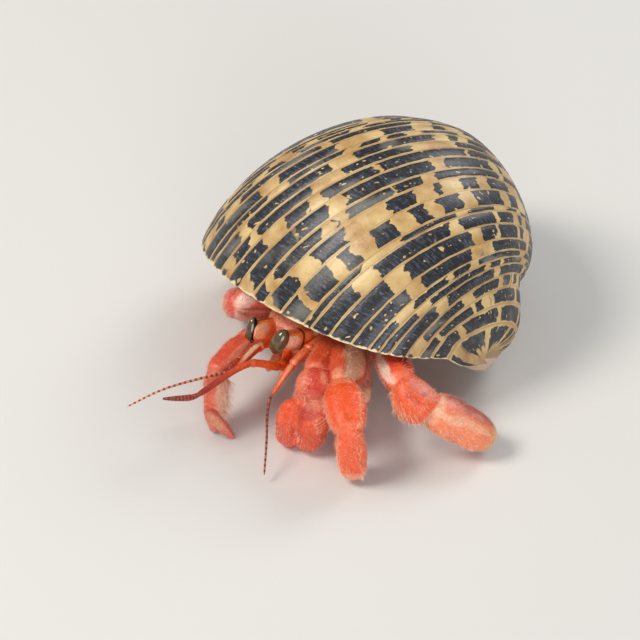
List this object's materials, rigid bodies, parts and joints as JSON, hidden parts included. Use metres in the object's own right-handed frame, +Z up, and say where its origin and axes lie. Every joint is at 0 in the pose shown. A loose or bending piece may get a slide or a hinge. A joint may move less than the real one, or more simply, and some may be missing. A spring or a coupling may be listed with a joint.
{
  "type": "land hermit crab in a nerite shell",
  "caption": "Still model of a walking land hermit crab under a low, coiled, ribbed snail shell, with stalked eyes, feelers, claws and jointed legs.",
  "frame": {"origin": "on the floor, under the middle of the part's box", "axes": "the crab faces -Y, its left side is +X, +Z is up"},
  "size_m": [0.038, 0.0448, 0.021],
  "materials": {
    "shell": "satin, blue-black dashes on ochre and cream, low spiral ribs",
    "red_cuticle": "satin red-orange, fine bumps and short bristles",
    "pale_cuticle": "satin pink-cream",
    "soft_skin": "matt soft skin",
    "cornea": "glossy olive-brown",
    "claw": "smooth dark horn"
  },
  "bodies": {
    "root": {"abdomen": "soft_skin", "antenna_flagellum_left": "red_cuticle", "antenna_flagellum_right": "red_cuticle", "antenna_left": "red_cuticle", "antenna_right": "red_cuticle", "antennule_flagellum_left": "red_cuticle", "antennule_flagellum_right": "red_cuticle", "antennule_left": "red_cuticle", "antennule_right": "red_cuticle", "carapace_shield": "red_cuticle", "cheliped_left_carpus": "red_cuticle", "cheliped_left_finger": "red_cuticle", "cheliped_left_merus": "red_cuticle", "cheliped_left_palm": "red_cuticle", "cheliped_right_carpus": "red_cuticle", "cheliped_right_finger": "red_cuticle", "cheliped_right_merus": "red_cuticle", "cheliped_right_palm": "red_cuticle", "eye_left": "cornea", "eye_right": "cornea", "eyestalk_left": "red_cuticle", "eyestalk_right": "red_cuticle", "leg2_left_carpus": "red_cuticle", "leg2_left_dactylus": "claw", "leg2_left_merus": "red_cuticle", "leg2_left_propodus": "red_cuticle", "leg2_right_carpus": "red_cuticle", "leg2_right_dactylus": "claw", "leg2_right_merus": "red_cuticle", "leg2_right_propodus": "red_cuticle", "leg3_left_carpus": "red_cuticle", "leg3_left_dactylus": "claw", "leg3_left_merus": "red_cuticle", "leg3_left_propodus": "red_cuticle", "leg3_right_carpus": "red_cuticle", "leg3_right_dactylus": "claw", "leg3_right_merus": "red_cuticle", "leg3_right_propodus": "red_cuticle", "leg4_left": "pale_cuticle", "leg4_right": "pale_cuticle", "maxilliped_left": "red_cuticle", "maxilliped_right": "red_cuticle", "shell": "shell", "thorax": "pale_cuticle"}
  },
  "joints": []
}
